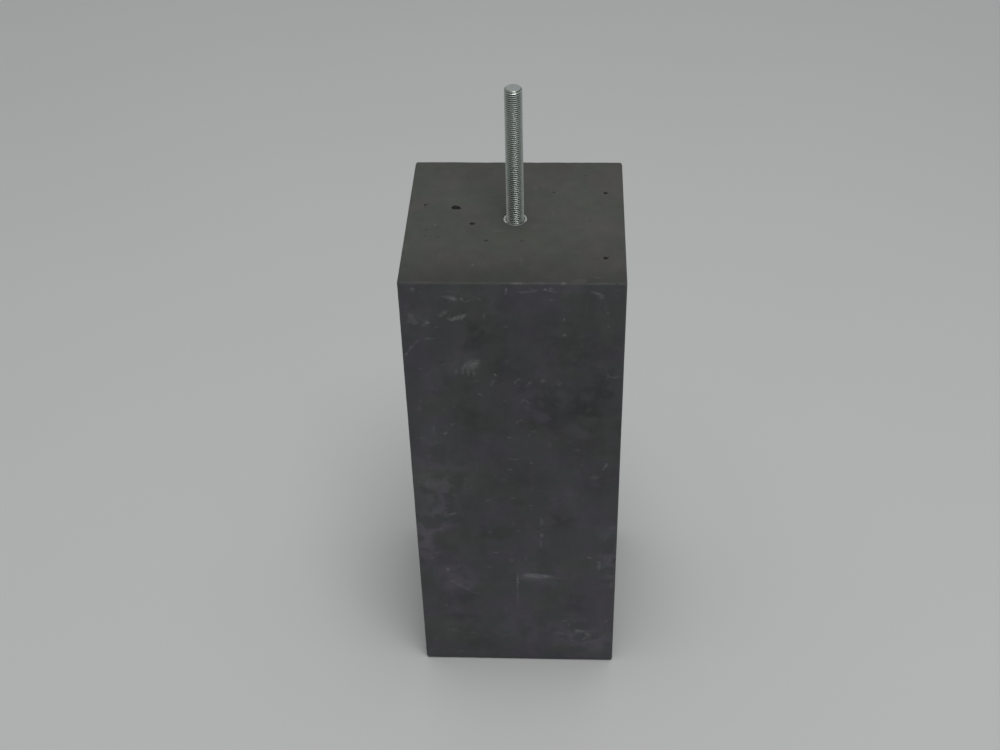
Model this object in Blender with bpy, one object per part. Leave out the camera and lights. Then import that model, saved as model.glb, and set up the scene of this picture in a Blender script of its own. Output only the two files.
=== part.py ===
# Column base block: a square cast concrete block that stands in or on the ground,
# with a steel screw socket cast flush into its top and a threaded rod screwed
# into the socket to carry a timber post. Metres, +Z up, origin at the middle of
# the underside, with the scuffed face looking along -Y.

import math

import bmesh
import bpy
from mathutils import Matrix

# Concrete block
BLOCK_SIDE = 0.200
BLOCK_HEIGHT = 0.500
ARRIS_RADIUS = 0.0025
ARRIS_SEGMENTS = 3

# Threaded rod
ROD_DIAMETER = 0.016
THREAD_PITCH = 0.002
THREAD_DEPTH = 0.0012
ROD_STANDING = 0.134
ROD_SCREWED_IN = 0.046
ROD_END_CHAMFER = 0.0015
THREAD_SIDES = 16

# Screw socket
SOCKET_WALL = 0.0027
SOCKET_FLOOR = 0.004
MOUTH_CHAMFER = 0.0009
SOCKET_SIDES = 48

# What is left open between pieces that touch
FIT_GAP = 0.0003

# Air pits in the top face: place across and along the face as shares of half its
# side, then radius and depth.
AIR_PITS = [
    (-0.558, 0.184, 0.0037, 0.0030),
    (-0.393, -0.083, 0.0020, 0.0017),
    (-0.844, 0.228, 0.0017, 0.0010),
    (-0.252, -0.354, 0.0016, 0.0010),
    (0.831, 0.441, 0.0018, 0.0016),
    (0.816, -0.618, 0.0018, 0.0017),
]
PIT_SIDES = 12
PIT_RINGS = 6

# Colours are linear red, green and blue, then roughness and metallic value
CONCRETE_FINISH = ((0.048, 0.049, 0.051), 0.85, 0.0)
SOCKET_FINISH = ((0.30, 0.32, 0.30), 0.50, 1.0)
ROD_FINISH = ((0.33, 0.38, 0.36), 0.38, 1.0)


def clear_scene():
    for old in list(bpy.data.objects):
        bpy.data.objects.remove(old)


def finish_material(name, finish):
    colour, roughness, metallic = finish
    material = bpy.data.materials.new(name)
    material.use_nodes = True
    shader = material.node_tree.nodes["Principled BSDF"]
    shader.inputs["Base Color"].default_value = (*colour, 1.0)
    shader.inputs["Roughness"].default_value = roughness
    shader.inputs["Metallic"].default_value = metallic
    return material


def object_from(bm, name, smooth_angle=None):
    bmesh.ops.recalc_face_normals(bm, faces=bm.faces)
    mesh = bpy.data.meshes.new(name)
    bm.to_mesh(mesh)
    bm.free()
    if smooth_angle is not None:
        mesh.shade_smooth()
        mesh.set_sharp_from_angle(angle=smooth_angle)
    obj = bpy.data.objects.new(name, mesh)
    bpy.context.scene.collection.objects.link(obj)
    return obj


def make_cutter(obj):
    obj.hide_render = True
    obj.display_type = "WIRE"
    return obj


def turned(name, outline, sides):
    """A solid turned about Z from (radius, height) points whose ends lie on the axis."""
    bm = bmesh.new()
    points = [bm.verts.new((radius, 0.0, height)) for radius, height in outline]
    edges = [bm.edges.new(pair) for pair in zip(points, points[1:])]
    bmesh.ops.spin(bm, geom=points + edges, axis=(0, 0, 1), cent=(0, 0, 0),
                   steps=sides, angle=2 * math.pi, use_merge=True)
    bmesh.ops.remove_doubles(bm, verts=bm.verts, dist=1e-6)
    return object_from(bm, name, math.radians(30))


def cut_by(obj, cutter, operation="DIFFERENCE"):
    modifier = obj.modifiers.new(cutter.name, "BOOLEAN")
    modifier.operation = operation
    modifier.object = cutter


def socket_radius():
    return ROD_DIAMETER / 2 + FIT_GAP + SOCKET_WALL


def socket_length():
    return ROD_SCREWED_IN + FIT_GAP + SOCKET_FLOOR


def concrete_block(top):
    bm = bmesh.new()
    bmesh.ops.create_cube(bm, size=1.0, matrix=Matrix.LocRotScale(
        (0, 0, BLOCK_HEIGHT / 2), None, (BLOCK_SIDE, BLOCK_SIDE, BLOCK_HEIGHT)))
    block = object_from(bm, "concrete_block")
    arris = block.modifiers.new("arris", "BEVEL")
    arris.width = ARRIS_RADIUS
    arris.segments = ARRIS_SEGMENTS
    cut_by(block, socket_recess(top))
    cut_by(block, air_pits(top))
    return block


def socket_recess(top):
    """The hole that the socket sits in, run a little above the face so that it cuts clean."""
    radius = socket_radius() + FIT_GAP
    recess = turned("socket_recess_cutter", [
        (0, -socket_length() - FIT_GAP),
        (radius, -socket_length() - FIT_GAP),
        (radius, ARRIS_RADIUS),
        (0, ARRIS_RADIUS),
    ], SOCKET_SIDES)
    recess.parent = top
    return make_cutter(recess)


def air_pits(top):
    bm = bmesh.new()
    half = BLOCK_SIDE / 2
    for across, along, radius, depth in AIR_PITS:
        bmesh.ops.create_uvsphere(bm, u_segments=PIT_SIDES, v_segments=PIT_RINGS, radius=1.0,
                                  matrix=Matrix.LocRotScale((across * half, along * half, 0), None,
                                                            (radius, radius, depth)))
    pits = object_from(bm, "air_pit_cutter")
    pits.parent = top
    return make_cutter(pits)


def screw_socket(top):
    """A blind steel sleeve, flush with the top face, with a countersunk mouth round the rod."""
    bore = ROD_DIAMETER / 2 + FIT_GAP
    floor = -ROD_SCREWED_IN - FIT_GAP
    socket = turned("screw_socket", [
        (0, floor - SOCKET_FLOOR),
        (socket_radius(), floor - SOCKET_FLOOR),
        (socket_radius(), 0),
        (bore + MOUTH_CHAMFER, 0),
        (bore, -MOUTH_CHAMFER),
        (bore, floor),
        (0, floor),
    ], SOCKET_SIDES)
    socket.parent = top
    return socket


def thread_helix(name, bottom, height):
    """A V thread as one closed helical ribbon, a turn longer than height at each end."""
    crest_radius = ROD_DIAMETER / 2
    root_radius = crest_radius - THREAD_DEPTH
    steps = THREAD_SIDES * math.ceil(height / THREAD_PITCH + 3)
    last_root = steps - THREAD_SIDES
    start = bottom - 1.5 * THREAD_PITCH
    bm = bmesh.new()

    def helix_point(radius, step, lift):
        angle = 2 * math.pi * step / THREAD_SIDES
        rise = THREAD_PITCH * (step / THREAD_SIDES + lift)
        return bm.verts.new((radius * math.cos(angle), radius * math.sin(angle), start + rise))

    crest = [helix_point(crest_radius, step, 0.0) for step in range(steps + 1)]
    root = [helix_point(root_radius, step, 0.5) for step in range(last_root + 1)]
    for step in range(last_root):
        above = step + THREAD_SIDES
        bm.faces.new((crest[step], crest[step + 1], root[step + 1], root[step]))
        bm.faces.new((root[step], root[step + 1], crest[above + 1], crest[above]))
    low = crest[:THREAD_SIDES + 1] + [root[0]]
    high = crest[last_root:] + [root[last_root]]
    for rim in (low, high):
        middle = bm.verts.new((0, 0, sum(point.co.z for point in rim) / len(rim)))
        for here, there in zip(rim, rim[1:] + rim[:1]):
            bm.faces.new((here, there, middle))
    return object_from(bm, name, math.radians(30))


def rod_blank(bottom, tip):
    """The rod's outer form, chamfered at both cut ends, which trims the thread."""
    clear = ROD_DIAMETER / 2 + THREAD_PITCH / 4
    end = ROD_DIAMETER / 2 - ROD_END_CHAMFER
    slope = clear - end
    return make_cutter(turned("rod_blank_cutter", [
        (0, bottom), (end, bottom), (clear, bottom + slope),
        (clear, tip - slope), (end, tip), (0, tip),
    ], 2 * THREAD_SIDES))


def threaded_rod(top):
    rod = thread_helix("threaded_rod", -ROD_SCREWED_IN, ROD_STANDING + ROD_SCREWED_IN)
    blank = rod_blank(-ROD_SCREWED_IN, ROD_STANDING)
    for obj in (rod, blank):
        obj.parent = top
    cut_by(rod, blank, "INTERSECT")
    return rod


def top_centre():
    """The middle of the top face, where the socket and the rod are set out from."""
    top = bpy.data.objects.new("top_centre", None)
    top.location = (0, 0, BLOCK_HEIGHT)
    bpy.context.scene.collection.objects.link(top)
    return top


def main():
    clear_scene()
    top = top_centre()
    pieces = (
        (concrete_block(top), finish_material("dark_concrete", CONCRETE_FINISH)),
        (screw_socket(top), finish_material("socket_steel", SOCKET_FINISH)),
        (threaded_rod(top), finish_material("zinc_plate", ROD_FINISH)),
    )
    for piece, material in pieces:
        piece.data.materials.append(material)


main()
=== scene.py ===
import math

import bmesh
import bpy
from mathutils import Matrix, Vector


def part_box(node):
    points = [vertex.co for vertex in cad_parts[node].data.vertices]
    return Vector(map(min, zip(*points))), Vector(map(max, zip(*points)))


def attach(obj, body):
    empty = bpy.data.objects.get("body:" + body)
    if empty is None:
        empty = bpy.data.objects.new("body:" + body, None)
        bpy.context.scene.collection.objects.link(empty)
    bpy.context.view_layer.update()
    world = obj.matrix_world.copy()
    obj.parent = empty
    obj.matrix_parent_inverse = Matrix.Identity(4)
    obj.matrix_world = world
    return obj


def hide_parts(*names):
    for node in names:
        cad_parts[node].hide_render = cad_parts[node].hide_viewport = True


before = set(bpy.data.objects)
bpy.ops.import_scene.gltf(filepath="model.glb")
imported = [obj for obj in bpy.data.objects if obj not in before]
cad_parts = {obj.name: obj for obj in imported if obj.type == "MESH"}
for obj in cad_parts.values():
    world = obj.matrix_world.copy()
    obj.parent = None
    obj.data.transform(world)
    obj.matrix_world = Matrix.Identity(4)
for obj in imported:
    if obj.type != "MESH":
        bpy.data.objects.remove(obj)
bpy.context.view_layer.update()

mm = 0.001

# Where the three solids lie; the overall sizes below are worked out from these boxes
blockLow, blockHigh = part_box("concrete_block")
socketLow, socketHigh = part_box("screw_socket")
rodLow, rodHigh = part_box("threaded_rod")
side = blockHigh.x - blockLow.x
half = side / 2
topZ = blockHigh.z
rodRadius = (rodHigh.x - rodLow.x) / 2
socketRadius = (socketHigh.x - socketLow.x) / 2


# Node trees

def addNode(tree, kind, inputs=None, **settings):
    node = tree.nodes.new(kind)
    for name, value in settings.items():
        setattr(node, name, value)
    for key, value in (inputs or {}).items():
        plug(tree, value, node.inputs[key])
    return node


def plug(tree, value, inlet):
    if isinstance(value, bpy.types.NodeSocket):
        tree.links.new(value, inlet)
    else:
        inlet.default_value = value


def calc(tree, operation, *values, clamp=False):
    node = addNode(tree, "ShaderNodeMath", dict(enumerate(values)), operation=operation, use_clamp=clamp)
    return node.outputs[0]


def vector(tree, operation, *values):
    node = addNode(tree, "ShaderNodeVectorMath", dict(enumerate(values)), operation=operation)
    return node.outputs["Value" if operation in ("LENGTH", "DOT_PRODUCT") else "Vector"]


def scaled(tree, value, amount):
    node = addNode(tree, "ShaderNodeVectorMath", {0: value, "Scale": amount}, operation="SCALE")
    return node.outputs["Vector"]


def combined(tree, x, y, z):
    return addNode(tree, "ShaderNodeCombineXYZ", {0: x, 1: y, 2: z}).outputs[0]


def separated(tree, value):
    return addNode(tree, "ShaderNodeSeparateXYZ", {0: value}).outputs


def ramp(tree, value, start, end, low=0.0, high=1.0, smooth=True):
    node = addNode(tree, "ShaderNodeMapRange", {0: value, 1: start, 2: end, 3: low, 4: high},
                   interpolation_type="SMOOTHSTEP" if smooth else "LINEAR")
    return node.outputs[0]


def noise(tree, place, scale, detail=2.0, roughness=0.5, distortion=0.0):
    node = addNode(tree, "ShaderNodeTexNoise", {"Vector": place, "Scale": scale, "Detail": detail,
                                                "Roughness": roughness, "Distortion": distortion})
    return node.outputs


def newGeometryTree(name, inputs):
    tree = bpy.data.node_groups.new(name, "GeometryNodeTree")
    tree.interface.new_socket("Geometry", in_out="INPUT", socket_type="NodeSocketGeometry")
    tree.interface.new_socket("Geometry", in_out="OUTPUT", socket_type="NodeSocketGeometry")
    for label, kind in inputs:
        tree.interface.new_socket(label, in_out="INPUT", socket_type="NodeSocket" + kind)
    return tree, tree.nodes.new("NodeGroupInput").outputs


def endTree(tree, geometry, material):
    realized = addNode(tree, "GeometryNodeRealizeInstances", {"Geometry": geometry})
    finished = addNode(tree, "GeometryNodeSetMaterial",
                       {"Geometry": realized.outputs[0], "Material": material})
    addNode(tree, "NodeGroupOutput", {"Geometry": finished.outputs[0]})


def grown(name, tree, values, mesh=None):
    # Runs a tree on an object and leaves its result as a plain mesh
    piece = bpy.data.objects.new(name, mesh or bpy.data.meshes.new(name))
    bpy.context.scene.collection.objects.link(piece)
    modifier = piece.modifiers.new(tree.name, "NODES")
    modifier.node_group = tree
    inputs = [item for item in tree.interface.items_tree if item.in_out == "INPUT"]
    identifiers = {item.name: item.identifier for item in inputs}
    for label, value in values.items():
        modifier[identifiers[label]] = value
    return keptPlain(piece, modifier)


def keptPlain(piece, modifier):
    # Makes what the modifier gives the piece's own mesh, and removes the modifier
    mesh = bpy.data.meshes.new_from_object(piece.evaluated_get(bpy.context.evaluated_depsgraph_get()))
    piece.modifiers.remove(modifier)
    piece.data = mesh
    mesh.name = piece.name
    return piece


def smoothed(piece, sharpAngle):
    piece.data.shade_smooth()
    piece.data.set_sharp_from_angle(angle=math.radians(sharpAngle))
    print(piece.name, "has", sum(len(face.vertices) - 2 for face in piece.data.polygons), "triangles")
    return piece


def newMaterial(name, constants):
    # A Principled material, with what is even all over it set on the shader's own sockets
    material = bpy.data.materials.new(name)
    material.use_nodes = True
    tree = material.node_tree
    shader = tree.nodes["Principled BSDF"]
    for label, value in constants.items():
        shader.inputs[label].default_value = value
    place = addNode(tree, "ShaderNodeTexCoord").outputs["Object"]
    return material, tree, shader, place


def mixed(tree, factor, first, second, blend="MIX"):
    node = addNode(tree, "ShaderNodeMix", {0: factor}, data_type="RGBA", blend_type=blend)
    plug(tree, first, node.inputs[6])
    plug(tree, second, node.inputs[7])
    return node.outputs[2]


def bumped(tree, shader, height, distance, strength=1.0):
    bump = addNode(tree, "ShaderNodeBump", {"Height": height, "Distance": distance, "Strength": strength})
    plug(tree, bump.outputs[0], shader.inputs["Normal"])


# Threaded rod

rod = {
    "pitch": 2.0 * mm,
    "depth": 1.2 * mm,
    "flatShare": 1 / 6,          # of the pitch, for the crest and again for the root
    "crowning": 0.08,            # share of the depth
    "rowsPerTurn": 12,
    "sides": 40,
    "endChamfer": 1.5 * mm,
    "spareTurns": 5.0,           # past each end, gathered into the flat of the cut end
    "sharpAngle": 38,
    "platingDark": (0.345, 0.385, 0.345, 1),
    "platingPale": (0.47, 0.495, 0.45, 1),
    "wornCrest": (0.52, 0.56, 0.54, 1),
    # painted shade for the thread roots
    "rootPaintedShade": (0.55, 0.58, 0.56, 1),
    "cutEndDark": (0.34, 0.37, 0.35, 1),
    "cutEndPale": (0.48, 0.51, 0.49, 1),
    "cementDust": (0.2, 0.2, 0.19, 1),
    "dustHeight": 5 * mm,
    "cloudScale": 60.0,
    "grimeScale": 420.0,
    "fineScale": 1500.0,
    "sawMarkScale": 2600.0,
    "sawMarkStrength": 2.5,
    "leastRoughness": 0.17,
    "grimeRoughness": 0.22,
    "cutEndRoughness": 0.25,
    "bumpHeight": 0.02 * mm,
}


def threadTree():
    # A grid whose columns climb one pitch in going round once, so that every row runs along the helix
    tree, given = newGeometryTree("rolledThread", [
        ("Radius", "Float"), ("Bottom", "Float"), ("Tip", "Float"), ("Pitch", "Float"), ("Depth", "Float"),
        ("Rows Per Turn", "Int"), ("Sides", "Int"), ("End Chamfer", "Float"), ("Spare Turns", "Float"),
        ("Material", "Material"),
    ])
    length = calc(tree, "SUBTRACT", given["Tip"], given["Bottom"])
    turns = calc(tree, "ADD", calc(tree, "DIVIDE", length, given["Pitch"]),
                 calc(tree, "MULTIPLY", given["Spare Turns"], 2.0))
    rows = calc(tree, "CEIL", calc(tree, "MULTIPLY", turns, given["Rows Per Turn"]))
    grid = addNode(tree, "GeometryNodeMeshGrid", {
        "Size X": 1.0, "Size Y": 1.0,
        "Vertices X": calc(tree, "ADD", given["Sides"], 1.0),
        "Vertices Y": calc(tree, "ADD", rows, 1.0),
    })
    flat = separated(tree, addNode(tree, "GeometryNodeInputPosition").outputs[0])
    around = calc(tree, "ADD", flat["X"], 0.5)
    row = calc(tree, "ROUND", calc(tree, "MULTIPLY", calc(tree, "ADD", flat["Y"], 0.5), rows))
    climbed = calc(tree, "SUBTRACT", calc(tree, "DIVIDE", row, given["Rows Per Turn"]), given["Spare Turns"])
    height = calc(tree, "MULTIPLY_ADD", calc(tree, "ADD", climbed, around), given["Pitch"], given["Bottom"])

    # 1 on the crest and 0 in the root, with straight flanks between two narrow, crowned flats
    wave = calc(tree, "ABSOLUTE", calc(tree, "MULTIPLY_ADD", calc(tree, "FRACT", climbed), 2.0, -1.0))
    flank = ramp(tree, wave, rod["flatShare"], 1 - rod["flatShare"], smooth=False)
    straight = calc(tree, "MULTIPLY", flank, 1 - rod["crowning"])
    rise = calc(tree, "MULTIPLY_ADD", wave, rod["crowning"], straight)
    belowCrest = calc(tree, "SUBTRACT", rise, 1.0)
    threadRadius = calc(tree, "MULTIPLY_ADD", belowCrest, given["Depth"], given["Radius"])
    endRadius = calc(tree, "SUBTRACT", given["Radius"], given["End Chamfer"])
    belowTip = calc(tree, "SUBTRACT", given["Tip"], height)
    aboveBottom = calc(tree, "SUBTRACT", height, given["Bottom"])
    nearerEnd = calc(tree, "MINIMUM", belowTip, aboveBottom)
    chamfer = calc(tree, "ADD", endRadius, nearerEnd)
    radius = calc(tree, "MAXIMUM", 0.0, calc(tree, "MINIMUM", threadRadius, chamfer))
    level = calc(tree, "MINIMUM", given["Tip"], calc(tree, "MAXIMUM", given["Bottom"], height))
    angle = calc(tree, "MULTIPLY", around, 2 * math.pi)
    wound = addNode(tree, "GeometryNodeSetPosition", {
        "Geometry": grid.outputs["Mesh"],
        "Position": combined(tree, calc(tree, "MULTIPLY", radius, calc(tree, "COSINE", angle)),
                             calc(tree, "MULTIPLY", radius, calc(tree, "SINE", angle)), level),
    })
    closed = addNode(tree, "GeometryNodeMergeByDistance",
                     {"Geometry": wound.outputs[0], "Distance": 0.0006 * mm})
    endTree(tree, closed.outputs[0], given["Material"])
    return tree


def zincMaterial():
    material, tree, shader, place = newMaterial("zincPlate", {"Metallic": 0.85})
    axis = separated(tree, place)
    fromAxis = vector(tree, "LENGTH", combined(tree, axis["X"], axis["Y"], 0.0))
    rootRadius = rodRadius - rod["depth"]
    crest = ramp(tree, fromAxis, rootRadius + 0.1 * mm, rodRadius - 0.1 * mm)
    cloud = noise(tree, place, rod["cloudScale"], 3.0)[0]
    grime = noise(tree, place, rod["grimeScale"], 2.0)[0]
    plating = mixed(tree, cloud, rod["platingDark"], rod["platingPale"])
    worn = mixed(tree, calc(tree, "MULTIPLY", crest, 0.5), plating, rod["wornCrest"])
    # The thread roots are darkened with painted shade, standing in for shadow between the flanks
    paintedRootShade = mixed(tree, crest, rod["rootPaintedShade"], (1, 1, 1, 1))
    whole = mixed(tree, 1.0, worn, paintedRootShade, "MULTIPLY")

    # The cut end is duller and shows saw marks, and the lowest threads hold cement dust
    cutEnd = ramp(tree, axis["Z"], rodHigh.z - 0.15 * mm, rodHigh.z - 0.05 * mm)
    whole = mixed(tree, cutEnd, whole, mixed(tree, grime, rod["cutEndDark"], rod["cutEndPale"]))
    lowDown = ramp(tree, axis["Z"], topZ + rod["dustHeight"], topZ - 1 * mm)
    dusty = calc(tree, "MULTIPLY", lowDown, ramp(tree, grime, 0.45, 0.65))
    whole = mixed(tree, calc(tree, "MULTIPLY", dusty, 0.5), whole, rod["cementDust"])
    plug(tree, whole, shader.inputs["Base Color"])
    dull = calc(tree, "MULTIPLY_ADD", grime, rod["grimeRoughness"], rod["leastRoughness"])
    roughness = calc(tree, "MULTIPLY_ADD", cutEnd, rod["cutEndRoughness"], dull)
    plug(tree, roughness, shader.inputs["Roughness"])
    alongSaw = vector(tree, "MULTIPLY", place, (0.06, 1.0, 1.0))
    sawn = calc(tree, "MULTIPLY", noise(tree, alongSaw, rod["sawMarkScale"], 2.0)[0], cutEnd)
    fine = noise(tree, place, rod["fineScale"], 2.0)[0]
    relief = calc(tree, "ADD", fine, calc(tree, "MULTIPLY", sawn, rod["sawMarkStrength"]))
    bumped(tree, shader, relief, rod["bumpHeight"], 0.6)
    return material


def threadedRod():
    piece = grown("threadedRod", threadTree(), {
        "Radius": rodRadius, "Bottom": rodLow.z, "Tip": rodHigh.z, "Pitch": rod["pitch"],
        "Depth": rod["depth"], "Rows Per Turn": rod["rowsPerTurn"], "Sides": rod["sides"],
        "End Chamfer": rod["endChamfer"], "Spare Turns": rod["spareTurns"], "Material": zincMaterial(),
    })
    return smoothed(piece, rod["sharpAngle"])


# Screw socket

socket = {
    "sides": 96,
    "lip": 0.7 * mm,            # rounding of the outer rim
    "mouth": 0.8 * mm,          # countersink round the rod
    "threadClearance": 0.15 * mm,
    "threadShare": 0.8,         # how much of the rod's thread depth the inner thread has
    "tapRowsPerTurn": 8,
    "tapSides": 32,
    "tapRunOut": 4 * mm,        # how far the tap reaches above the top
    "floor": 4.0 * mm,
    "sharpAngle": 35,
    "steelDark": (0.42, 0.445, 0.43, 1),
    "steelPale": (0.68, 0.70, 0.68, 1),
    "stainScale": 220.0,
    "fineScale": 1300.0,
    "filmColour": (0.10, 0.10, 0.092, 1),
    "filmScale": 130.0,
    "filmStrength": 0.75,
    "bumpHeight": 0.03 * mm,
}


def turned(name, outline, sides):
    bm = bmesh.new()
    points = [bm.verts.new((radius, 0.0, height)) for radius, height in outline]
    edges = [bm.edges.new(pair) for pair in zip(points, points[1:])]
    bmesh.ops.spin(bm, geom=points + edges, axis=(0, 0, 1), cent=(0, 0, 0), steps=sides,
                   angle=2 * math.pi, use_merge=True)
    bmesh.ops.remove_doubles(bm, verts=bm.verts, dist=0.001 * mm)
    bmesh.ops.recalc_face_normals(bm, faces=bm.faces)
    mesh = bpy.data.meshes.new(name)
    bm.to_mesh(mesh)
    bm.free()
    piece = bpy.data.objects.new(name, mesh)
    bpy.context.scene.collection.objects.link(piece)
    return piece


def arc(middleRadius, middleHeight, reach, start, end, steps):
    turns = [math.radians(start + (end - start) * step / steps) for step in range(steps + 1)]
    return [(middleRadius + reach * math.cos(turn), middleHeight + reach * math.sin(turn)) for turn in turns]


def socketMaterial():
    material, tree, shader, place = newMaterial("socketSteel", {"Metallic": 1.0})
    axis = separated(tree, place)
    stain = noise(tree, place, socket["stainScale"], 4.0, 0.6)[0]
    fine = noise(tree, place, socket["fineScale"], 2.0)[0]
    steel = mixed(tree, stain, socket["steelDark"], socket["steelPale"])

    # A film of cement lies on the rim, thickest on the near side
    nearSide = ramp(tree, axis["Y"], -4 * mm, -9.5 * mm)
    flecks = noise(tree, place, socket["filmScale"], 3.0)[0]
    spread = calc(tree, "ADD", flecks, calc(tree, "MULTIPLY", nearSide, 0.22))
    film = calc(tree, "MULTIPLY", ramp(tree, spread, 0.5, 0.62), socket["filmStrength"])
    plug(tree, mixed(tree, film, steel, socket["filmColour"]), shader.inputs["Base Color"])
    plug(tree, calc(tree, "MULTIPLY_ADD", stain, 0.3, 0.32), shader.inputs["Roughness"])
    bumped(tree, shader, fine, socket["bumpHeight"], 0.7)
    return material


def screwSocket():
    lip = socket["lip"]
    bore = rodRadius + socket["threadClearance"]
    crest = bore - socket["threadShare"] * rod["depth"]
    outline = [(0, socketLow.z), (socketRadius, socketLow.z)]
    outline += arc(socketRadius - lip, topZ - lip, lip, 0, 90, 5)
    outline += [(bore + socket["mouth"], topZ), (crest, topZ - socket["mouth"] - (bore - crest))]
    outline += [(crest, socketLow.z + socket["floor"]), (0, socketLow.z + socket["floor"])]
    piece = turned("screwSocket", outline, socket["sides"])

    # The rod's own thread, a little larger, cuts the thread inside
    tap = grown("socketTap", bpy.data.node_groups["rolledThread"], {
        "Radius": bore, "Bottom": rodLow.z, "Tip": topZ + socket["tapRunOut"], "Pitch": rod["pitch"],
        "Depth": rod["depth"], "Rows Per Turn": socket["tapRowsPerTurn"], "Sides": socket["tapSides"],
        "End Chamfer": rod["endChamfer"], "Spare Turns": rod["spareTurns"], "Material": None,
    })
    cut = piece.modifiers.new("tapped", "BOOLEAN")
    cut.operation = "DIFFERENCE"
    cut.solver = "MANIFOLD"
    cut.object = tap
    keptPlain(piece, cut)
    bpy.data.objects.remove(tap)
    piece.data.materials.clear()
    piece.data.materials.append(socketMaterial())
    return smoothed(piece, socket["sharpAngle"])


# Concrete block

block = {
    "cellsAcross": 64,
    "cellsUp": 150,
    "edgeDensity": 0.4,          # how far the cells are drawn towards the arrises, below 0.5
    "arrisRadius": 2.5 * mm,
    "arrisWear": 0.45,           # share by which the arris radius comes and goes
    "wearScale": 70.0,
    "waviness": 0.25 * mm,
    "waveScale": 14.0,
    "socketGap": 0.08 * mm,
    "pitsPerSquareMetre": 1000.0,
    "pitSizes": (0.25 * mm, 0.85 * mm),
    "chipSpacing": 6.0 * mm,
    "chipSizes": (0.3 * mm, 2.2 * mm),
    "chipStray": 2.8 * mm,       # how far chips lie off the arris, at most
    "lumpScale": 1.3,            # for the rough ball that cuts pits and chips
    "lumpiness": 0.7,
    "seed": 7,
    "sharpAngle": 32,
    "tealGrey": (0.0587, 0.0640, 0.0667, 1),
    "violetGrey": (0.0678, 0.0625, 0.0725, 1),
    "greenGrey": (0.0615, 0.0655, 0.0595, 1),
    "topGreen": (0.0600, 0.0642, 0.0542, 1),
    "topMauve": (0.0664, 0.0641, 0.0607, 1),
    "broadScale": 20.0,
    "patchScale": 38.0,
    "streakScale": 75.0,
    "grainScale": 420.0,
    "gritScale": 950.0,
    "sandScale": 1700.0,
    "cloudiness": 0.5,
    "markFades": (1.3, 2.0),     # how far a mark fades, as shares of its length and breadth
    "markDepth": 3,              # how deep into a face a mark reaches, in mm
    "patchStrength": 0.42,
    "streaks": 0.35,
    "lowLightening": 0.10,       # towards the foot of the sides
    "nearEdgeShade": 0.40,
    "nearEdgeReach": (28 * mm, 98 * mm),
    "rubColour": (0.27, 0.27, 0.28, 1),
    "rubStrength": 0.6,
    "rubGrainScale": 620.0,
    "strayRubs": 0.4,            # on the front, and twice this on the other sides
    "strayScale": 110.0,
    "arrisColour": (0.125, 0.125, 0.115, 1),
    "arrisStrength": 0.35,
    "chipColour": (0.20, 0.20, 0.19, 1),
    "chipStrength": 0.6,
    # painted shade and dirt for the pits
    "pitColour": (0.004, 0.004, 0.004, 1),
    "pitStrength": 0.95,
    "bumpHeight": 0.16 * mm,
}

# Hollows listed one by one: across, along and up from the middle of the top, then half sizes, all in mm
topHollows = [
    (-55.8, 18.4, 0, 4.4, 3.8, 3.6), (-52.4, 17.0, 0, 2.0, 1.8, 2.0), (-39.3, -8.3, 0, 2.5, 2.2, 2.4),
    (-36.4, -7.4, 0, 1.2, 1.0, 1.1), (-84.4, 22.8, 0, 1.9, 2.1, 1.3), (-82.0, 24.8, 0, 1.1, 1.1, 1.0),
    (-25.2, -35.4, 0, 2.3, 1.5, 1.4), (6.8, -35.2, 0, 2.3, 1.4, 1.0), (34.9, 44.9, 0, 1.9, 1.6, 1.1),
    (83.1, 44.1, 0, 2.2, 2.1, 2.1), (81.6, -61.8, 0, 2.3, 2.3, 2.3), (84.0, -60.6, 0, 1.0, 1.0, 1.0),
    (68.2, -3.3, 0, 2.8, 1.1, 0.7), (-69.0, -30.2, 0, 1.9, 1.1, 0.8), (-80.2, -18.7, 0, 2.1, 1.1, 0.8),
    (-81.0, -28.3, 0, 1.6, 1.1, 0.7), (-78.1, 84.1, 0, 1.9, 1.4, 0.7), (-47.4, 71.8, 0, 1.6, 1.2, 0.7),
    (-26.3, 85.8, 0, 1.8, 1.4, 0.8), (64.2, 74.8, 0, 1.9, 1.4, 0.8), (-69.5, -57.0, 0, 1.5, 1.0, 0.6),
    (-22.0, -40.0, 0, 1.6, 0.9, 0.6),
]
arrisHollows = [
    (-101.5, 96, 0, 3.2, 8.0, 3.0), (-101, 101, -8, 3.0, 3.0, 11.0), (-101, -101, -500, 4.2, 4.0, 4.6),
    (-4, -101, 0.2, 3.4, 1.7, 1.5), (1.5, -101, 0.1, 2.2, 1.5, 1.4), (42, -101, 0, 2.6, 1.8, 1.6),
    (-64, -101, 0.4, 2.0, 1.4, 1.3), (71, -101.3, 0.3, 3.0, 1.6, 1.5), (99, -101, -1, 2.4, 2.4, 3.0),
    (101, 99, -2, 2.2, 2.6, 3.4), (-101, 30, 0.4, 1.6, 3.4, 1.4), (-101, -38, 0.4, 1.5, 2.6, 1.3),
]

# Pits in the front, in mm: across from the middle, up from the underside, half width and depth
frontHollows = [
    (-16, 399, 1.1, 1.0), (12, 232, 0.9, 0.8), (-58, 480, 1.0, 0.8), (-4, 489, 0.9, 0.8),
    (-43, 467, 1.1, 0.8), (29, 489, 0.9, 0.7), (-83, 159, 0.8, 0.7), (65, 43, 0.9, 0.7),
    (-42, 459, 0.8, 0.6), (52, 436, 0.8, 0.6),
]


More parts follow.
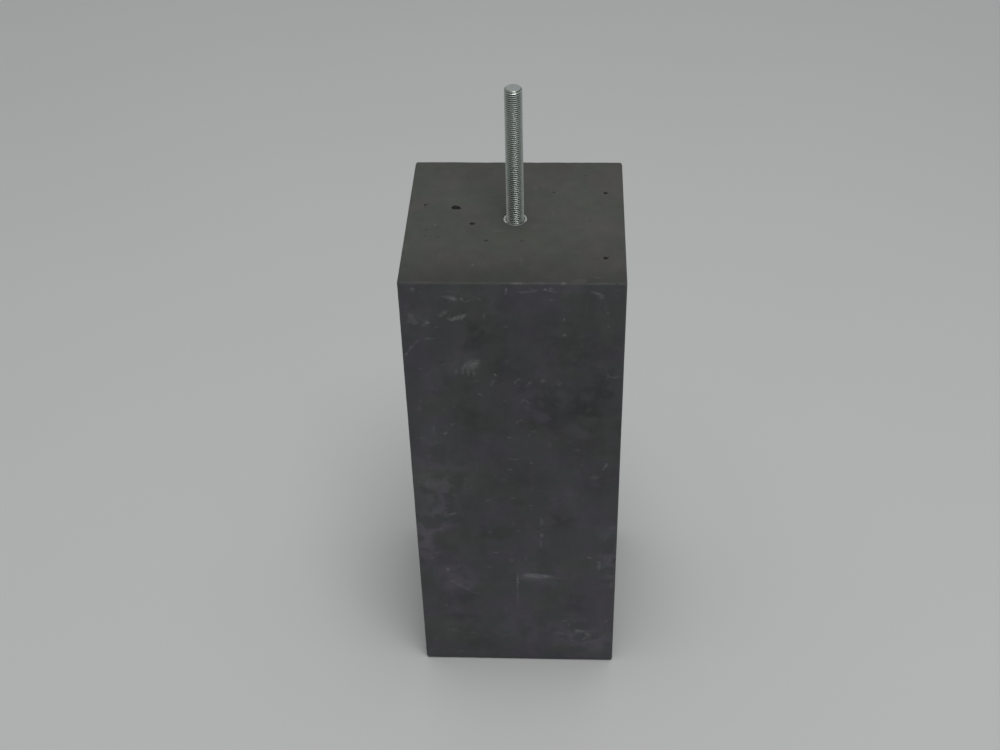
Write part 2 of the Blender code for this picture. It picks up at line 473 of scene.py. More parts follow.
def blockTree():
    tree, given = newGeometryTree("castBlock", [
        ("Side", "Float"), ("Height", "Float"), ("Cells Across", "Int"), ("Cells Up", "Int"),
        ("Edge Density", "Float"), ("Arris Radius", "Float"), ("Arris Wear", "Float"), ("Waviness", "Float"),
        ("Socket Radius", "Float"), ("Socket Depth", "Float"),
        ("Pits Per Square Metre", "Float"), ("Smallest Pit", "Float"), ("Largest Pit", "Float"),
        ("Chip Spacing", "Float"), ("Chip Stray", "Float"), ("Smallest Chip", "Float"),
        ("Largest Chip", "Float"), ("Seed", "Int"), ("Material", "Material"),
    ])
    halves = scaled(tree, combined(tree, given["Side"], given["Side"], given["Height"]), 0.5)
    middle = combined(tree, 0.0, 0.0, calc(tree, "MULTIPLY", given["Height"], 0.5))
    across = calc(tree, "ADD", given["Cells Across"], 1.0)
    cube = addNode(tree, "GeometryNodeMeshCube", {
        "Size": (2, 2, 2), "Vertices X": across, "Vertices Y": across,
        "Vertices Z": calc(tree, "ADD", given["Cells Up"], 1.0)})

    # Cells are drawn towards the arrises, which are then rounded by a radius that comes and goes
    unit = addNode(tree, "GeometryNodeInputPosition").outputs[0]
    slack = vector(tree, "SUBTRACT", (1, 1, 1), vector(tree, "MULTIPLY", unit, unit))
    stretch = vector(tree, "ADD", (1, 1, 1), scaled(tree, slack, given["Edge Density"]))
    sized = vector(tree, "MULTIPLY", vector(tree, "MULTIPLY", unit, stretch), halves)
    wear = calc(tree, "SUBTRACT", noise(tree, sized, block["wearScale"], 4.0, 0.6)[0], 0.5)
    change = calc(tree, "MULTIPLY", wear, calc(tree, "MULTIPLY", given["Arris Wear"], 2.0))
    radius = calc(tree, "MULTIPLY", given["Arris Radius"], calc(tree, "ADD", 1.0, change))
    inner = vector(tree, "SUBTRACT", halves, combined(tree, radius, radius, radius))
    core = vector(tree, "MINIMUM", inner, vector(tree, "MAXIMUM", scaled(tree, inner, -1.0), sized))
    outwards = vector(tree, "NORMALIZE", vector(tree, "SUBTRACT", sized, core))
    rounded = vector(tree, "ADD", core, scaled(tree, outwards, radius))

    # Faces dip by parts of a millimetre, but the underside stays flat
    waves = noise(tree, sized, block["waveScale"], 3.0, 0.55)[0]
    dip = calc(tree, "MULTIPLY", waves, given["Waviness"])
    standing = ramp(tree, separated(tree, outwards)["Z"], -0.9, -0.5)
    dipped = vector(tree, "SUBTRACT", rounded, scaled(tree, outwards, calc(tree, "MULTIPLY", dip, standing)))
    shaped = addNode(tree, "GeometryNodeSetPosition", {
        "Geometry": cube.outputs["Mesh"], "Position": vector(tree, "ADD", dipped, middle)}).outputs[0]

    # The hole for the socket
    hole = addNode(tree, "GeometryNodeMeshCylinder", {
        "Vertices": socket["sides"], "Radius": given["Socket Radius"],
        "Depth": calc(tree, "MULTIPLY", given["Socket Depth"], 2.0)})
    recess = addNode(tree, "GeometryNodeSetPosition", {
        "Geometry": hole.outputs["Mesh"], "Offset": combined(tree, 0.0, 0.0, given["Height"])}).outputs[0]

    # One rough ball of 80 faces is turned and squashed into every pit and chip
    ball = addNode(tree, "GeometryNodeMeshIcoSphere", {"Radius": 1.0, "Subdivisions": 2})
    lumps = noise(tree, addNode(tree, "GeometryNodeInputPosition").outputs[0], block["lumpScale"], 2.0)[1]
    lumpy = scaled(tree, vector(tree, "SUBTRACT", lumps, (0.5, 0.5, 0.5)), block["lumpiness"])
    rough = addNode(tree, "GeometryNodeSetPosition", {
        "Geometry": ball.outputs["Mesh"], "Offset": lumpy}).outputs[0]
    fullTurn = (6.28, 6.28, 6.28)

    def randomly(low, high, seedStep, kind="FLOAT"):
        node = addNode(tree, "FunctionNodeRandomValue", data_type=kind)
        first = {"FLOAT_VECTOR": 0, "FLOAT": 2}[kind]
        plug(tree, low, node.inputs[first])
        plug(tree, high, node.inputs[first + 1])
        plug(tree, calc(tree, "ADD", given["Seed"], float(seedStep)), node.inputs["Seed"])
        return node.outputs[{"FLOAT_VECTOR": 0, "FLOAT": 1}[kind]]

    def mostlySmall(low, high, power, seedStep):
        share = calc(tree, "POWER", randomly(0.0, 1.0, seedStep), power)
        return calc(tree, "MULTIPLY_ADD", share, calc(tree, "SUBTRACT", high, low), low)

    def cutters(points, size, seedStep):
        shape = randomly((0.6, 0.6, 0.6), (1.0, 1.0, 1.0), seedStep, "FLOAT_VECTOR")
        turn = randomly((0, 0, 0), fullTurn, seedStep + 1, "FLOAT_VECTOR")
        node = addNode(tree, "GeometryNodeInstanceOnPoints", {
            "Points": points, "Instance": rough, "Rotation": turn, "Scale": scaled(tree, shape, size)})
        return node.outputs[0]

    scattered = addNode(tree, "GeometryNodeDistributePointsOnFaces", {
        "Mesh": shaped, "Density": given["Pits Per Square Metre"], "Seed": given["Seed"],
    }, distribute_method="RANDOM")
    pitSize = mostlySmall(given["Smallest Pit"], given["Largest Pit"], 3.0, 1)
    pits = cutters(scattered.outputs["Points"], pitSize, 2)

    frameCube = addNode(tree, "GeometryNodeMeshCube", {
        "Size": scaled(tree, halves, 2.0), "Vertices X": 2, "Vertices Y": 2, "Vertices Z": 2})
    raised = addNode(tree, "GeometryNodeSetPosition",
                     {"Geometry": frameCube.outputs["Mesh"], "Offset": middle})
    arrises = addNode(tree, "GeometryNodeMeshToCurve", {"Mesh": raised.outputs[0]})
    along = addNode(tree, "GeometryNodeCurveToPoints", {
        "Curve": arrises.outputs[0], "Length": given["Chip Spacing"]}, mode="LENGTH")
    farthest = combined(tree, given["Chip Stray"], given["Chip Stray"], given["Chip Stray"])
    offArris = addNode(tree, "GeometryNodeSetPosition", {
        "Geometry": along.outputs["Points"],
        "Offset": randomly(scaled(tree, farthest, -1.0), farthest, 11, "FLOAT_VECTOR")})
    chipSize = mostlySmall(given["Smallest Chip"], given["Largest Chip"], 3.5, 12)
    chips = cutters(offArris.outputs[0], chipSize, 13)

    halfSizes = addNode(tree, "GeometryNodeInputNamedAttribute", {"Name": "halfSizes"},
                        data_type="FLOAT_VECTOR")
    placed = addNode(tree, "GeometryNodeInstanceOnPoints", {
        "Points": given["Geometry"], "Instance": rough, "Scale": halfSizes.outputs["Attribute"]}).outputs[0]

    hollows = addNode(tree, "GeometryNodeJoinGeometry")
    for part in (recess, pits, chips, placed):
        tree.links.new(part, hollows.inputs[0])
    cut = addNode(tree, "GeometryNodeMeshBoolean", {"Mesh 1": shaped, "Mesh 2": hollows.outputs[0]},
                  operation="DIFFERENCE", solver="MANIFOLD")
    endTree(tree, cut.outputs["Mesh"], given["Material"])
    return tree


def hollowPoints():
    hollows = topHollows + arrisHollows
    hollows += [(x, -half / mm, up - topZ / mm, size, depth, size) for x, up, size, depth in frontHollows]
    mesh = bpy.data.meshes.new("concreteBlock")
    mesh.from_pydata([(x * mm, y * mm, topZ + z * mm) for x, y, z, *sizes in hollows], [], [])
    sizes = mesh.attributes.new("halfSizes", "FLOAT_VECTOR", "POINT")
    for point, hollow in zip(sizes.data, hollows):
        point.vector = [size * mm for size in hollow[3:]]
    return mesh


# Light rubs on the front: across from the middle, up from the underside, length and breadth in mm,
# then turn in degrees and strength
frontRubs = {
    "along the top arris": [
        (4, 499, 13, 1.4, 0, 0.9), (-8, 499, 8, 1.0, 0, 0.4), (45, 499, 6, 2.0, 0, 0.9),
        (-72, 499, 34, 0.8, 0, 0.3), (-30, 499, 20, 0.8, 0, 0.25), (24, 499, 22, 0.8, 0, 0.35),
        (76, 499, 24, 1.0, 0, 0.35),
    ],
    "under the top arris": [
        (-87, 491, 5, 3, 70, 0.35), (-80, 489, 3, 2, 0, 0.3), (-53, 490, 12, 2, 0, 0.3),
        (-55, 484, 12, 3, -10, 0.55), (-51, 482, 6, 3.2, 0, 0.75), (-44, 482, 3.5, 3, 0, 0.9),
        (-39, 480, 8, 2, 20, 0.45), (-29, 482, 6, 2.5, 0, 0.35), (-5, 490, 7, 2.2, 80, 0.7),
        (9, 490, 14, 2, 0, 0.5), (19, 491, 10, 2, 15, 0.6), (34, 491, 14, 2, -12, 0.6),
        (34, 482, 5, 2, 0, 0.45), (74, 489, 12, 2.5, -20, 0.75), (78, 485, 7, 4, 0, 0.55),
        (82, 473, 8, 1.8, 80, 0.3),
    ],
    "small bright spots": [
        (-51, 483, 4, 3, 0, 0.5), (29, 493, 4, 2.5, 0, 1.0), (34, 494, 5, 2, 0, 0.7),
        (-5, 493, 3, 2.5, 0, 0.8), (-87, 493, 4, 2, 0, 0.6), (17, 493, 3, 2, 0, 0.5),
        (62, 47, 5, 3, -30, 0.7), (72, 159, 4, 2, 0, 0.5), (-71, 140, 4, 2.5, 0, 0.6),
        (46, 443, 2.6, 2.6, 0, 0.5), (-65, 325, 4, 2.4, 20, 0.5), (87, 287, 4, 3, 60, 0.6),
        (-43, 464, 4, 3, 0, 0.6), (-75, 456, 4, 2.5, 0, 0.6), (16, 387, 3, 2.5, 0, 0.4),
        (-16, 396, 3, 2, 0, 0.6),
    ],
    "upper left": [
        (-60, 467, 10, 3, 40, 0.6), (-64, 464, 5, 2, 10, 0.45), (-48, 462, 18, 2.6, 25, 0.95),
        (-52, 460, 10, 2.2, 5, 0.8), (-45, 461, 9, 1.4, 50, 0.6), (-56, 462, 7, 1.4, 60, 0.5),
        (-90, 464, 8, 4, 45, 0.5), (-88, 459, 7, 4, -60, 0.55), (-86, 455, 8, 2.5, 20, 0.5),
        (-92, 457, 5, 3, 0, 0.4), (-77, 455, 9, 2.5, 30, 0.5), (-78, 452, 10, 1.5, 0, 0.4),
        (-68, 451, 6, 1.5, 0, 0.4), (-25, 464, 9, 2.5, 88, 0.4), (-75, 438, 14, 1.5, 4, 0.55),
        (-86, 434, 9, 1.6, 30, 0.5), (-91, 428, 10, 1.8, 50, 0.6), (-96, 420, 10, 1.8, 65, 0.6),
        (-62, 409, 14, 1.5, 12, 0.4), (-84, 403, 8, 1.5, 0, 0.3),
    ],
    "the broad rub": [
        (-38, 408, 14, 8, 20, 0.75), (-33, 411, 9, 3, 30, 0.6), (-44, 407, 9, 2, 60, 0.5),
        (-46, 401, 9, 1.7, 88, 0.6), (-52, 400, 9, 1.5, 92, 0.5), (-41, 399, 9, 1.6, 88, 0.6),
        (-36, 398, 8, 1.8, 85, 0.6), (-17, 397, 2.2, 2.2, 0, 0.9),
    ],
    "middle": [
        (-34, 389, 8, 1.6, 25, 0.5), (-19, 388, 7, 1.6, 55, 0.55), (-20, 385, 5, 1.5, 0, 0.4),
        (-10, 386, 5, 1.5, 0, 0.3), (4, 391, 7, 1.6, 30, 0.6), (1, 388, 6, 1.6, -60, 0.5),
        (4, 384, 6, 1.4, 0, 0.35), (14, 387, 8, 1.6, 55, 0.6), (10, 383, 5, 1.4, 0, 0.4),
        (27, 390, 8, 4, 10, 0.5), (-31, 373, 7, 2.6, -35, 0.5), (-8, 366, 5, 2, 0, 0.35),
        (8, 366, 9, 1.6, 65, 0.5), (12, 365, 9, 1.6, -55, 0.45), (11, 358, 8, 2, 0, 0.35),
        (-86, 365, 3, 2.4, 0, 0.5), (-88, 355, 4, 6, 0, 0.35), (-65, 325, 4, 2, 20, 0.6),
        (-88, 319, 4, 2, 0, 0.5), (-5, 320, 4.5, 2, 0, 0.6), (3, 339, 4, 3, 0, 0.5),
        (14, 324, 4, 4, 0, 0.3), (33, 312, 9, 2.4, 88, 0.3), (-2, 293, 15, 1.6, -3, 0.55),
        (15, 288, 5, 3, 80, 0.45), (-82, 295, 7, 4, 30, 0.35), (46, 460, 2.4, 2.2, 0, 0.6),
        (46, 443, 2.2, 2.2, 0, 0.7), (84, 468, 3.4, 3, 0, 0.5), (85, 453, 3.4, 3, 0, 0.45),
        (-6, 452, 5, 2, 0, 0.4), (58, 424, 6, 1.5, -10, 0.35), (52, 430, 5, 1.3, 0, 0.3),
        (-6, 412, 8, 1.8, 110, 0.3), (85, 283, 12, 2, 65, 0.65), (76, 270, 10, 4, 10, 0.5),
        (63, 286, 6, 2, 0, 0.4), (-86, 258, 10, 1.8, 88, 0.45),
    ],
    "lower left": [
        (-27, 238, 8, 1.6, 0, 0.5), (-62, 219, 9, 2, 15, 0.75), (-68, 216, 14, 4, 15, 0.3),
        (-22, 165, 7, 1.9, 0, 0.65), (-79, 164, 13, 1.6, 0, 0.35), (-28, 144, 8, 3, -20, 0.35),
        (-71, 138, 6, 3, 30, 0.6), (-60, 143, 7, 2, 0, 0.45), (-64, 131, 13, 2, 0, 0.45),
        (-67, 121, 10, 2.6, -5, 0.45), (-60, 116, 10, 3, -30, 0.5), (-53, 111, 9, 4, -25, 0.5),
        (-45, 105, 13, 2, -15, 0.4), (-69, 46, 9, 5, 0, 0.35), (-49, 42, 10, 3.5, 0, 0.35),
        (-87, 32, 12, 10, 0, 0.25), (-62, 12, 7, 2, 30, 0.4), (-93, 14, 6, 3, 0, 0.3),
    ],
    "the long rub low down": [
        (0, 124, 24, 1.8, 90.5, 0.95), (0, 99, 28, 1.4, 90.5, 0.45), (12, 132, 13, 3.6, 0, 0.9),
        (20, 131, 14, 4.6, 0, 1.0), (30, 130.5, 12, 3.6, 0, 0.9), (19, 129, 36, 7, 0, 0.55),
        (44, 128, 14, 1.4, 0, 0.4),
    ],
    "lower middle": [
        (-3, 241, 7, 1.6, 0, 0.6), (35, 240, 9, 1.4, 0, 0.4), (15, 231, 6, 1.4, 0, 0.6),
        (12.5, 233, 4, 1.4, 90, 0.5), (24.5, 210, 13, 1.5, 90, 0.8), (27, 210, 10, 1.2, 90, 0.4),
        (24.5, 190, 7, 2.6, 90, 0.9), (24, 178, 13, 1.5, 90, 0.7), (2, 197, 8, 1.2, 0, 0.5),
        (-5, 154, 5, 4, 60, 0.5), (9, 158, 11, 3, 90, 0.3),
    ],
    "lower right": [
        (73, 159, 9, 1.4, 5, 0.65), (82, 153, 8, 2.6, 30, 0.5), (83, 147, 13, 3, 85, 0.75),
        (96, 120, 14, 3, 88, 0.45), (81, 116, 7, 3, 0, 0.3), (92, 64, 8, 1.9, 50, 0.55),
        (48, 63, 9, 2.6, 20, 0.5), (53, 57, 9, 3, 100, 0.4), (44, 43, 19, 5, -10, 0.4),
        (64, 48, 13, 2.5, -12, 0.9), (73, 42, 9, 3.5, -50, 0.95), (70, 36, 9, 2.4, 35, 0.7),
        (55, 40, 9, 4, 60, 0.3), (58, 32, 11, 3, -30, 0.3), (72, 10, 16, 8, 10, 0.22),
    ],
}
# Broad patches on the front, in the same terms: pale with bloom, and dark
frontPale = [
    (-84, 240, 150, 30, 88, 0.6), (-60, 280, 30, 50, 0, 0.3), (10, 40, 60, 40, 0, 0.25),
    (80, 30, 50, 50, 0, 0.4), (-72, 268, 44, 60, 80, 0.8), (-63, 128, 46, 30, -20, 0.7),
    (-55, 112, 40, 24, -30, 0.6), (95, 150, 90, 16, 90, 1.0), (88, 182, 46, 20, 90, 0.5),
    (62, 44, 60, 34, -15, 0.9), (94, 28, 44, 22, 80, 0.8), (56, 243, 44, 24, 5, 0.5),
    (53, 270, 30, 14, 75, 0.55), (-68, 382, 60, 30, 85, 0.5), (-70, 220, 34, 22, 30, 0.6),
    (-77, 323, 44, 30, 60, 0.5), (56, 488, 66, 18, 0, 0.5), (-88, 460, 34, 26, 60, 0.6),
    (-42, 407, 42, 26, 15, 0.7), (22, 130, 60, 26, 0, 0.9), (-50, 484, 44, 16, 0, 0.35),
    (0, 60, 70, 40, 70, 0.4), (24, 185, 90, 12, 90, 0.3), (-92, 180, 80, 20, 88, 0.5),
    (-84, 200, 120, 40, 88, 0.7), (-16, 478, 50, 34, 0, 0.5), (90, 160, 90, 30, 88, 0.3),
]
frontDark = [
    (-40, 443, 36, 22, 10, 0.8), (-14, 446, 34, 20, 0, 0.5), (40, 362, 44, 50, 60, 1.0),
    (78, 370, 46, 34, 0, 0.8), (28, 340, 34, 26, 30, 0.6), (-40, 337, 60, 26, 80, 0.6),
    (-47, 384, 26, 16, 0, 0.6), (66, 425, 70, 44, 80, 0.6), (77, 257, 36, 26, 70, 0.6),
    (-60, 92, 50, 24, 5, 0.7), (-58, 62, 40, 26, 0, 0.6), (-42, 28, 50, 28, 10, 0.6),
    (63, 90, 36, 30, 60, 0.6), (-30, 187, 50, 30, 20, 0.6), (47, 212, 30, 26, 80, 0.6),
    (30, 446, 44, 26, 0, 0.4), (-8, 408, 40, 26, 90, 0.4), (0, 262, 70, 40, 10, 0.35),
    (98, 330, 100, 12, 90, 0.5), (66, 322, 60, 36, 20, 0.45),
]
# The same on the top, with the second number up the face from its middle
topPale = [
    (-64, 36, 60, 36, 0, 0.2), (60, 14, 80, 60, 0, 0.22), (-86, -84, 40, 24, 0, 0.2),
    (88, -84, 40, 24, 0, 0.25),
]
topDark = [
    (-18, 68, 70, 50, 0, 0.15), (86, -50, 60, 34, 80, 0.2), (40, 90, 70, 30, 0, 0.15),
    (-50, 84, 60, 30, 0, 0.15),
]
topRubs = [
    (-73, -11, 4, 3, 20, 0.4), (17, 52, 7, 6, 30, 0.25), (-15, -20, 13, 2.5, 5, 0.3),
    (57, -12.5, 8, 5, 0, 0.22), (74, -91, 14, 3, -10, 0.25), (-35, -73, 1.6, 1.6, 0, 1.0),
    (-48, 4, 12, 1.0, -70, 0.2), (60, -96, 20, 5, 0, 0.25),
]


def patches(tree, place, marks, onTop=False):
    # Adds up one ellipse for each mark, which fades from its middle to well past its own edge
    lengthFade, breadthFade = block["markFades"]
    total = 0.0
    for across, up, length, breadth, turn, strength in marks:
        halfLength = length * lengthFade / 2
        halfBreadth = breadth * breadthFade / 2
        if onTop:
            centre = (across, up, topZ / mm)
            spin = (0, 0, math.radians(turn))
            reach = (halfLength, halfBreadth, block["markDepth"])
        else:
            centre = (across, -half / mm, up)
            spin = (0, -math.radians(turn), 0)
            reach = (halfLength, block["markDepth"], halfBreadth)
        mapping = addNode(tree, "ShaderNodeMapping", {
            "Vector": place, "Location": [mm * n for n in centre],
            "Rotation": spin, "Scale": [mm * n for n in reach],
        }, vector_type="TEXTURE")
        spot = addNode(tree, "ShaderNodeTexGradient", {"Vector": mapping.outputs[0]},
                       gradient_type="SPHERICAL")
        total = calc(tree, "MULTIPLY_ADD", spot.outputs[1], strength, total)
    return total


def strayed(tree, place, scale, reach):
    # Moves each point a little by noise, so that what is laid on it has ragged edges
    shift = vector(tree, "SUBTRACT", noise(tree, place, scale, 3.0)[1], (0.5, 0.5, 0.5))
    return vector(tree, "ADD", place, scaled(tree, shift, reach))


def concreteMaterial():
    material, tree, shader, place = newMaterial("darkConcrete", {"Specular IOR Level": 0.35})
    axis = separated(tree, place)
    toSideX = calc(tree, "SUBTRACT", half, calc(tree, "ABSOLUTE", axis["X"]))
    toSideY = calc(tree, "SUBTRACT", half, calc(tree, "ABSOLUTE", axis["Y"]))
    toEndZ = calc(tree, "MINIMUM", axis["Z"], calc(tree, "SUBTRACT", topZ, axis["Z"]))
    nearerSide = calc(tree, "MINIMUM", toSideX, toSideY)
    furtherSide = calc(tree, "MAXIMUM", toSideX, toSideY)
    toFace = calc(tree, "MINIMUM", nearerSide, toEndZ)
    toArris = calc(tree, "MAXIMUM", nearerSide, calc(tree, "MINIMUM", furtherSide, toEndZ))
    onTop = ramp(tree, axis["Z"], topZ - 1.6 * mm, topZ - 0.6 * mm)

    # Clouds in the cast face, from hand size down to grains of sand
    broad = noise(tree, place, block["broadScale"], 3.0, 0.55)
    patch = noise(tree, place, block["patchScale"], 4.0, 0.6)
    upright = addNode(tree, "ShaderNodeMapping", {"Vector": place, "Scale": (1.0, 1.0, 0.3)}).outputs[0]
    streak = noise(tree, upright, block["streakScale"], 3.0, 0.55)[0]
    grain = noise(tree, place, block["grainScale"], 3.0, 0.6)[0]
    sand = noise(tree, place, block["sandScale"], 2.0, 0.7)[0]
    grits = ramp(tree, noise(tree, place, block["gritScale"], 1.0)[0], 0.66, 0.78)
    hues = separated(tree, broad[1])
    tones = separated(tree, patch[1])

    # Light and dark from the listed patches on the front and the top
    soft = strayed(tree, place, 40.0, 22 * mm)
    byHandFront = calc(tree, "SUBTRACT", patches(tree, soft, frontPale), patches(tree, soft, frontDark))
    shifted = separated(tree, soft)
    overTop = combined(tree, shifted["X"], shifted["Y"], topZ)
    byHandTop = calc(tree, "SUBTRACT", patches(tree, overTop, topPale, onTop=True),
                     patches(tree, overTop, topDark, onTop=True))
    byHand = calc(tree, "MULTIPLY_ADD", byHandTop, onTop, byHandFront)

    # Pale parts, and those low down or to the right, are more violet, and the rest is greener
    lean = calc(tree, "MULTIPLY_ADD", axis["Z"], -0.9 / topZ, 0.45)
    lean = calc(tree, "MULTIPLY_ADD", axis["X"], 0.7 / side, lean)
    lean = calc(tree, "MULTIPLY_ADD", byHandFront, 1.3, lean)
    blend = calc(tree, "MULTIPLY_ADD", calc(tree, "SUBTRACT", tones["X"], 0.5), 0.4, hues["X"])
    blend = calc(tree, "MULTIPLY_ADD", lean, 0.05, blend)
    greener = calc(tree, "MULTIPLY_ADD", lean, -0.07, hues["Y"])
    face = mixed(tree, ramp(tree, blend, 0.39, 0.61), block["tealGrey"], block["violetGrey"])
    face = mixed(tree, calc(tree, "MULTIPLY", ramp(tree, greener, 0.5, 0.66), 0.8), face, block["greenGrey"])
    topFace = mixed(tree, ramp(tree, blend, 0.40, 0.60), block["topGreen"], block["topMauve"])
    base = mixed(tree, onTop, face, topFace)

    # Light and dark: by chance, from the listed patches, in streaks, towards the foot and near the top's
    # front edge
    cloudiness = calc(tree, "MULTIPLY_ADD", onTop, -0.5 * block["cloudiness"], block["cloudiness"])
    cloudy = calc(tree, "MULTIPLY_ADD", calc(tree, "SUBTRACT", tones["Z"], 0.5), cloudiness, 1.0)
    cloudy = calc(tree, "MULTIPLY_ADD", byHand, block["patchStrength"], cloudy)
    cloudy = calc(tree, "MULTIPLY_ADD", calc(tree, "SUBTRACT", streak, 0.5), block["streaks"], cloudy)
    low = calc(tree, "MULTIPLY", ramp(tree, axis["Z"], 0.34, 0.05), block["lowLightening"])
    cloudy = calc(tree, "ADD", cloudy, low)
    shadeStart, shadeEnd = block["nearEdgeReach"]
    ragged = calc(tree, "MULTIPLY_ADD", patch[0], 24 * mm, axis["Y"])
    nearEdge = calc(tree, "MULTIPLY", onTop, ramp(tree, ragged, -shadeStart, -shadeEnd))
    shaded = calc(tree, "MULTIPLY_ADD", nearEdge, -block["nearEdgeShade"], 1.0)
    cloudy = calc(tree, "MULTIPLY", cloudy, shaded)
    speckle = calc(tree, "MULTIPLY_ADD", grain, 0.32, 0.66)
    speckle = calc(tree, "ADD", speckle, calc(tree, "MULTIPLY", sand, 0.34))
    speckle = calc(tree, "MULTIPLY_ADD", grits, 0.30, speckle)
    shade = calc(tree, "MULTIPLY", speckle, cloudy)
    base = mixed(tree, 1.0, base, combined(tree, shade, shade, shade), "MULTIPLY")

    # Rubs break up into dry streaks
    warped = strayed(tree, strayed(tree, place, 160.0, 3.0 * mm), 420.0, 2.4 * mm)
    allFront = [rub for rubs in frontRubs.values() for rub in rubs]
    rubs = calc(tree, "ADD", patches(tree, warped, allFront), patches(tree, warped, topRubs, onTop=True))
    broken = ramp(tree, noise(tree, place, block["rubGrainScale"], 4.0, 0.75)[0], 0.38, 0.60, 0.18, 1.0)
    rubs = calc(tree, "MULTIPLY", calc(tree, "MULTIPLY_ADD", rubs, 1.2, -0.08, clamp=True), broken)

    # Fainter rubs stray over every side, and are twice as strong off the front
    strayField = noise(tree, warped, block["strayScale"], 2.0, 0.5, 0.8)[0]
    strayPatch = ramp(tree, noise(tree, place, 21.0, 2.0)[0], 0.46, 0.62)
    stray = calc(tree, "MULTIPLY", ramp(tree, strayField, 0.62, 0.76), strayPatch)
    stray = calc(tree, "MULTIPLY", stray, calc(tree, "MULTIPLY", broken, block["strayRubs"]))
    stray = calc(tree, "MULTIPLY", stray, calc(tree, "MULTIPLY_ADD", onTop, -0.8, 1.0))
    onFront = ramp(tree, axis["Y"], 4 * mm - half, 1 * mm - half)
    stray = calc(tree, "MULTIPLY", stray, calc(tree, "SUBTRACT", 2.0, onFront))
    dust = calc(tree, "MAXIMUM", rubs, stray, clamp=True)
    base = mixed(tree, calc(tree, "MULTIPLY", dust, block["rubStrength"]), base, block["rubColour"])

    # Arrises are rubbed lighter, pits in the faces are painted dark with painted shade and dirt, and chips
    # are pale
    rubbedBack = calc(tree, "MULTIPLY_ADD", patch[0], 2.4 * mm, 0.6 * mm)
    arris = calc(tree, "MULTIPLY", calc(tree, "LESS_THAN", toArris, 4 * mm),
                 ramp(tree, toArris, rubbedBack, 0.2 * mm))
    base = mixed(tree, calc(tree, "MULTIPLY", arris, block["arrisStrength"]), base, block["arrisColour"])
    inFace = ramp(tree, toArris, 3.0 * mm, 5.0 * mm)
    pitShadeAndDirt = calc(tree, "MULTIPLY", ramp(tree, toFace, 0.45 * mm, 1.3 * mm), inFace)
    base = mixed(tree, calc(tree, "MULTIPLY", pitShadeAndDirt, block["pitStrength"]), base, block["pitColour"])
    chipped = calc(tree, "MULTIPLY", ramp(tree, toFace, 0.85 * mm, 1.3 * mm),
                   calc(tree, "SUBTRACT", 1.0, inFace))
    base = mixed(tree, calc(tree, "MULTIPLY", chipped, block["chipStrength"]), base, block["chipColour"])
    plug(tree, base, shader.inputs["Base Color"])
    plug(tree, calc(tree, "MULTIPLY_ADD", grain, 0.25, 0.62), shader.inputs["Roughness"])
    relief = calc(tree, "MULTIPLY_ADD", sand, 0.5, grain)
    bumped(tree, shader, relief, block["bumpHeight"], 0.8)
    return material


def concreteBlock():
    piece = grown("concreteBlock", blockTree(), {
        "Side": side, "Height": topZ - blockLow.z,
        "Cells Across": block["cellsAcross"], "Cells Up": block["cellsUp"],
        "Edge Density": block["edgeDensity"], "Arris Radius": block["arrisRadius"],
        "Arris Wear": block["arrisWear"], "Waviness": block["waviness"],
        "Socket Radius": socketRadius + block["socketGap"],
        "Socket Depth": topZ - socketLow.z + block["socketGap"],
        "Pits Per Square Metre": block["pitsPerSquareMetre"],
        "Smallest Pit": block["pitSizes"][0], "Largest Pit": block["pitSizes"][1],
        "Chip Spacing": block["chipSpacing"], "Chip Stray": block["chipStray"],
        "Smallest Chip": block["chipSizes"][0], "Largest Chip": block["chipSizes"][1],
        "Seed": block["seed"], "Material": concreteMaterial(),
    }, hollowPoints())
    return smoothed(piece, block["sharpAngle"])


# The studio: floor, light and camera

studio = {
    "floorSize": 60.0,
    "floorColour": (0.64, 0.64, 0.63, 1),
    "skyColour": (0.96, 0.98, 1.0),
    "skyStrength": 0.45,
    "keyPlace": (0.15, -0.365, 2.2),
    "keyAim": (0, 0, 0.3),
    "keyWidth": 0.6,
    "keyLength": 1.1,
    "keyPower": 14.0,
}
view = {
    "place": (0.0475, -1.1357, 1.2504),
    "tiltDown": 39.45,
    "turn": -3.30,
    "roll": -1.58,
    "lens": 53.26,
    "sensor": 36.0,
}


def floorMaterial():
    material, tree, shader, place = newMaterial("paleFloor", {"Roughness": 0.8})
    tone = noise(tree, place, 3.0, 3.0)[0]
    paler = [channel * 1.03 for channel in studio["floorColour"][:3]] + [1]
    plug(tree, mixed(tree, tone, studio["floorColour"], paler), shader.inputs["Base Color"])
    return material


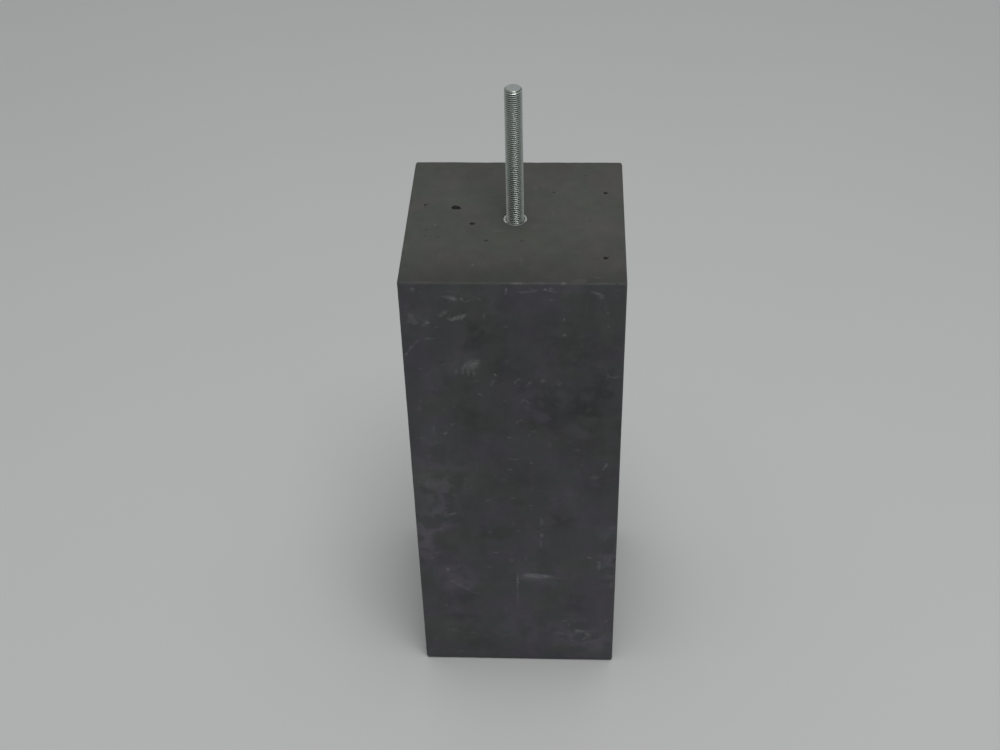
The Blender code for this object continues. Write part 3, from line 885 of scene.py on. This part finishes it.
def buildStudio():
    reach = studio["floorSize"] / 2
    mesh = bpy.data.meshes.new("floor")
    corners = [(-reach, -reach, 0), (reach, -reach, 0), (reach, reach, 0), (-reach, reach, 0)]
    mesh.from_pydata(corners, [], [(0, 1, 2, 3)])
    floor = bpy.data.objects.new("floor", mesh)
    bpy.context.scene.collection.objects.link(floor)
    mesh.materials.append(floorMaterial())

    world = bpy.data.worlds.new("studioSky")
    world.use_nodes = True
    background = world.node_tree.nodes["Background"]
    background.inputs["Color"].default_value = (*studio["skyColour"], 1)
    background.inputs["Strength"].default_value = studio["skyStrength"]
    bpy.context.scene.world = world

    lamp = bpy.data.lights.new("softbox", "AREA")
    lamp.shape = "RECTANGLE"
    lamp.size = studio["keyWidth"]
    lamp.size_y = studio["keyLength"]
    lamp.energy = studio["keyPower"]
    key = bpy.data.objects.new("softbox", lamp)
    key.location = studio["keyPlace"]
    key.rotation_euler = (Vector(studio["keyAim"]) - key.location).to_track_quat("-Z", "Y").to_euler()
    bpy.context.scene.collection.objects.link(key)


def buildCamera():
    lens = bpy.data.cameras.new("camera")
    lens.lens = view["lens"]
    lens.sensor_width = view["sensor"]
    camera = bpy.data.objects.new("camera", lens)
    turn = (Matrix.Rotation(-math.radians(view["turn"]), 3, "Z")
            @ Matrix.Rotation(math.radians(90 - view["tiltDown"]), 3, "X")
            @ Matrix.Rotation(math.radians(view["roll"]), 3, "Z"))
    camera.location = view["place"]
    camera.rotation_euler = turn.to_euler()
    bpy.context.scene.collection.objects.link(camera)
    bpy.context.scene.camera = camera


bpy.context.scene.view_settings.view_transform = "Standard"
print("camera and studio")
buildCamera()
buildStudio()
print("rod")
rodPiece = threadedRod()
print("socket")
socketPiece = screwSocket()
print("block")
blockPiece = concreteBlock()

for piece, node, slot in (
    (rodPiece, "threaded_rod", "zinc_plate"),
    (socketPiece, "screw_socket", "socket_steel"),
    (blockPiece, "concrete_block", "dark_concrete"),
):
    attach(piece, "root")
    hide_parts(node)
